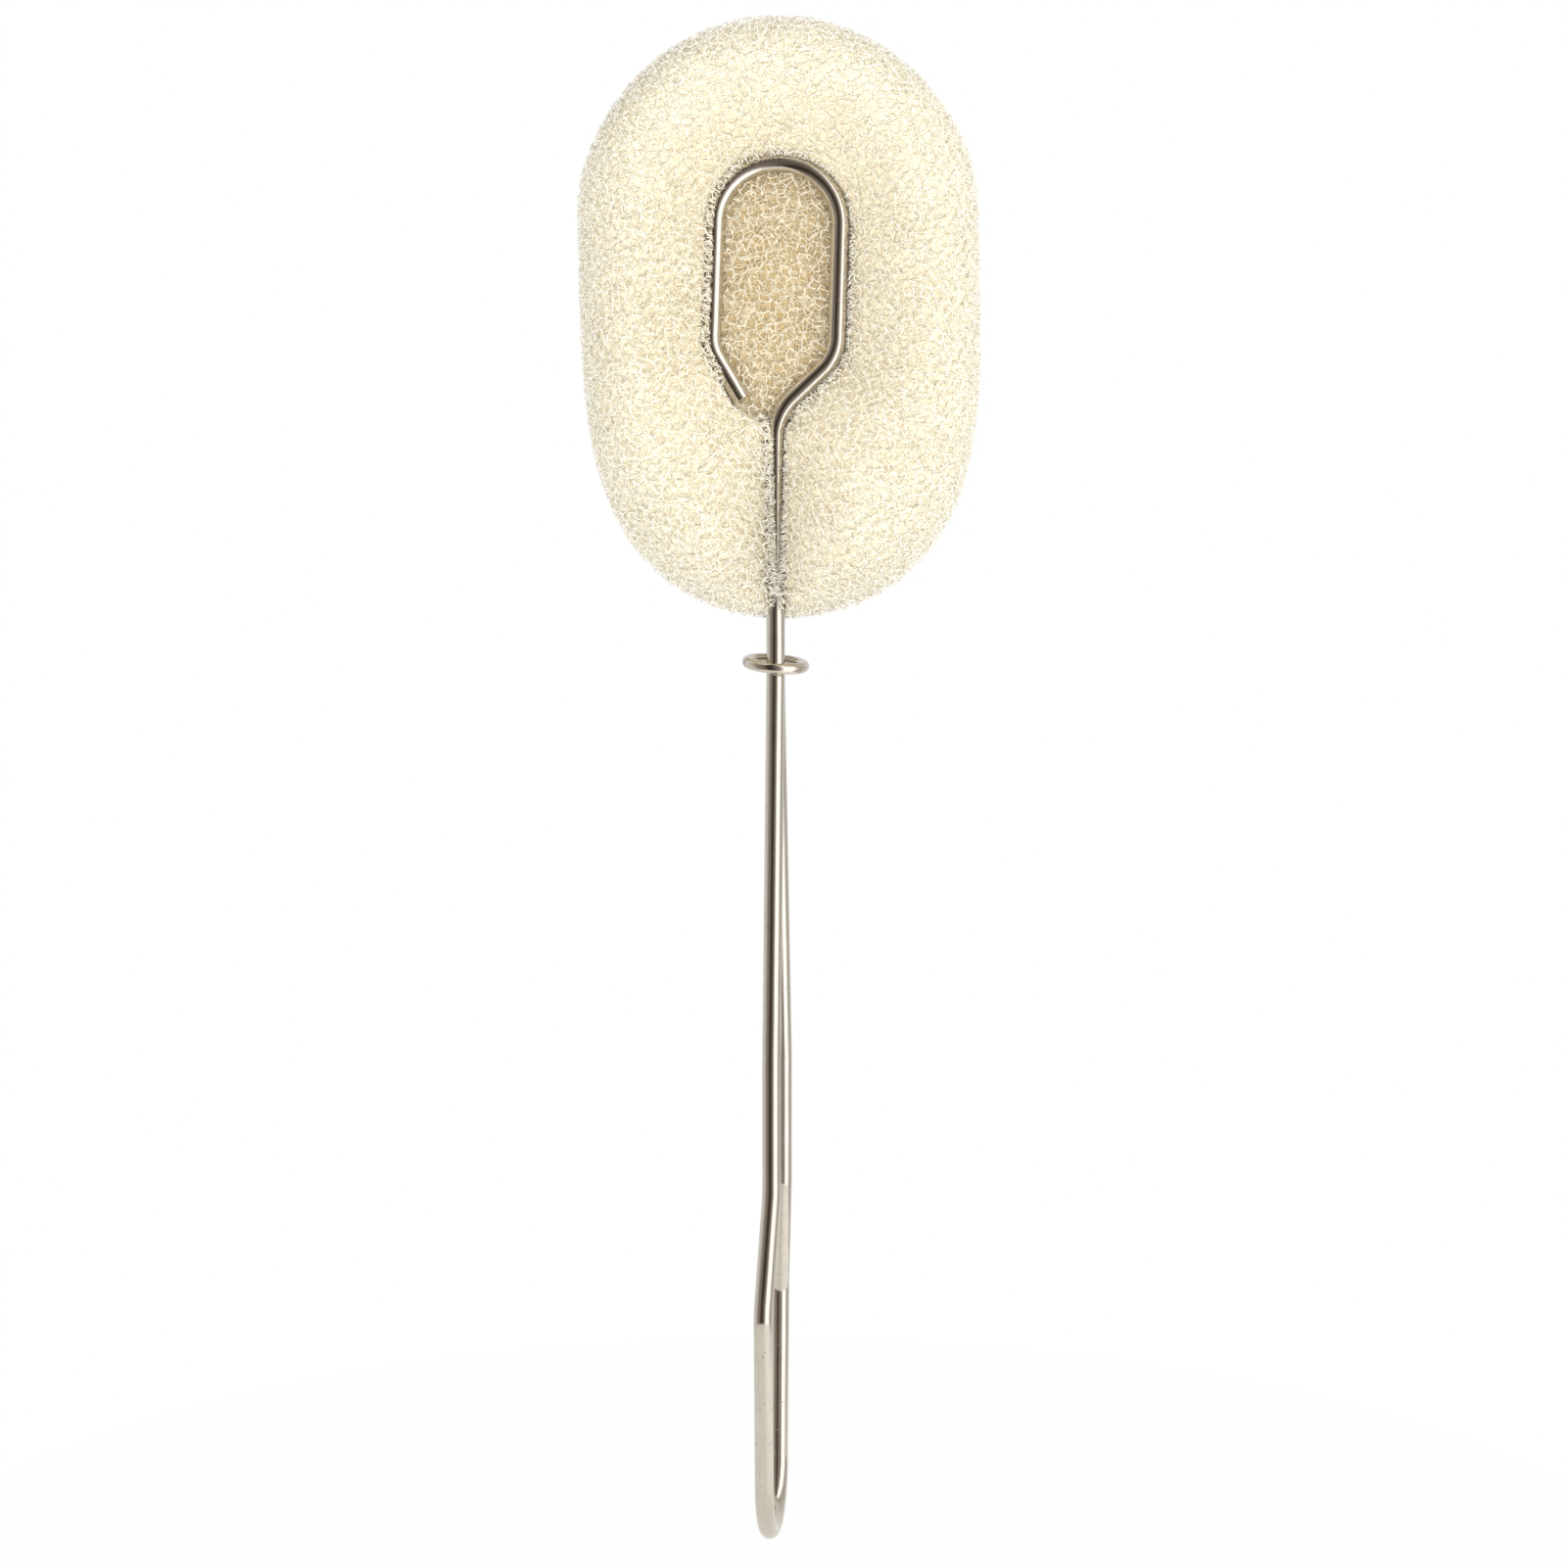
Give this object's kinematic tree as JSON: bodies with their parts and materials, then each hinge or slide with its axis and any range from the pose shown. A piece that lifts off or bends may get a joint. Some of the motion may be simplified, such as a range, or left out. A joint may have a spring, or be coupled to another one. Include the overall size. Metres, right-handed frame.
{
  "type": "sponge bottle brush",
  "caption": "Cleaning sponge on a wire handle: a folded spring wire clamps an oval foam sponge between its head loops, with a lock ring at the waist and a hanging eye.",
  "frame": {"origin": "underside of the handle's end bend, on the line of the stem", "axes": "+Z along the stem from the hanging eye to the sponge, +X across the sponge's width, -Y towards the front"},
  "size_m": [0.0733, 0.0425, 0.2771],
  "materials": {
    "wire_steel": "polished",
    "ring_steel": "polished",
    "foam": "open-cell foam"
  },
  "bodies": {
    "end_bend": {"end_bend": "wire_steel"},
    "front_leg": {"front_leg": "wire_steel"},
    "back_leg": {"back_leg": "wire_steel"},
    "front_jaw": {"front_jaw": "wire_steel"},
    "back_jaw": {"back_jaw": "wire_steel"},
    "lock_ring": {"lock_ring": "ring_steel"},
    "sponge": {"sponge": "foam"}
  },
  "joints": [
    {"name": "grip_squeeze", "type": "hinge", "parent": "end_bend", "child": "front_leg", "pos_m": [-0.00201, -0.0107, 0.0125], "axis": [-0.9893, 0.1461, 0], "range_deg": [0, 4.9], "stiffness_Nm_per_rad": 5, "springref_deg": -1.15},
    {"name": "back_leg_squeeze", "type": "hinge", "parent": "end_bend", "child": "back_leg", "pos_m": [0.00061, 0.0107, 0.0125], "axis": [0.9893, -0.1461, 0], "range_deg": [0, 4.95]},
    {"name": "front_jaw_open", "type": "hinge", "parent": "front_leg", "child": "front_jaw", "pos_m": [-0.00071, -0.00863, 0.088], "axis": [0.9893, -0.1461, 0], "range_deg": [0, 10.1]},
    {"name": "back_jaw_open", "type": "hinge", "parent": "back_leg", "child": "back_jaw", "pos_m": [0.00131, 0.00863, 0.088], "axis": [-0.9893, 0.1461, 0], "range_deg": [0, 10.1]},
    {"name": "ring_slide", "type": "slide", "parent": "end_bend", "child": "lock_ring", "axis": [0, 0, 1], "range_m": [-0.004, 0.0015]},
    {"name": "sponge_pull_off", "type": "slide", "parent": "end_bend", "child": "sponge", "axis": [0, 0, 1], "range_m": [0, 0.09], "deforming": ["sponge"]}
  ],
  "couplings": [
    {"joint": "back_leg_squeeze", "follows": "grip_squeeze", "ratio": 1},
    {"joint": "front_jaw_open", "follows": "grip_squeeze", "ratio": 2.0486},
    {"joint": "back_jaw_open", "follows": "grip_squeeze", "ratio": 2.0486}
  ]
}
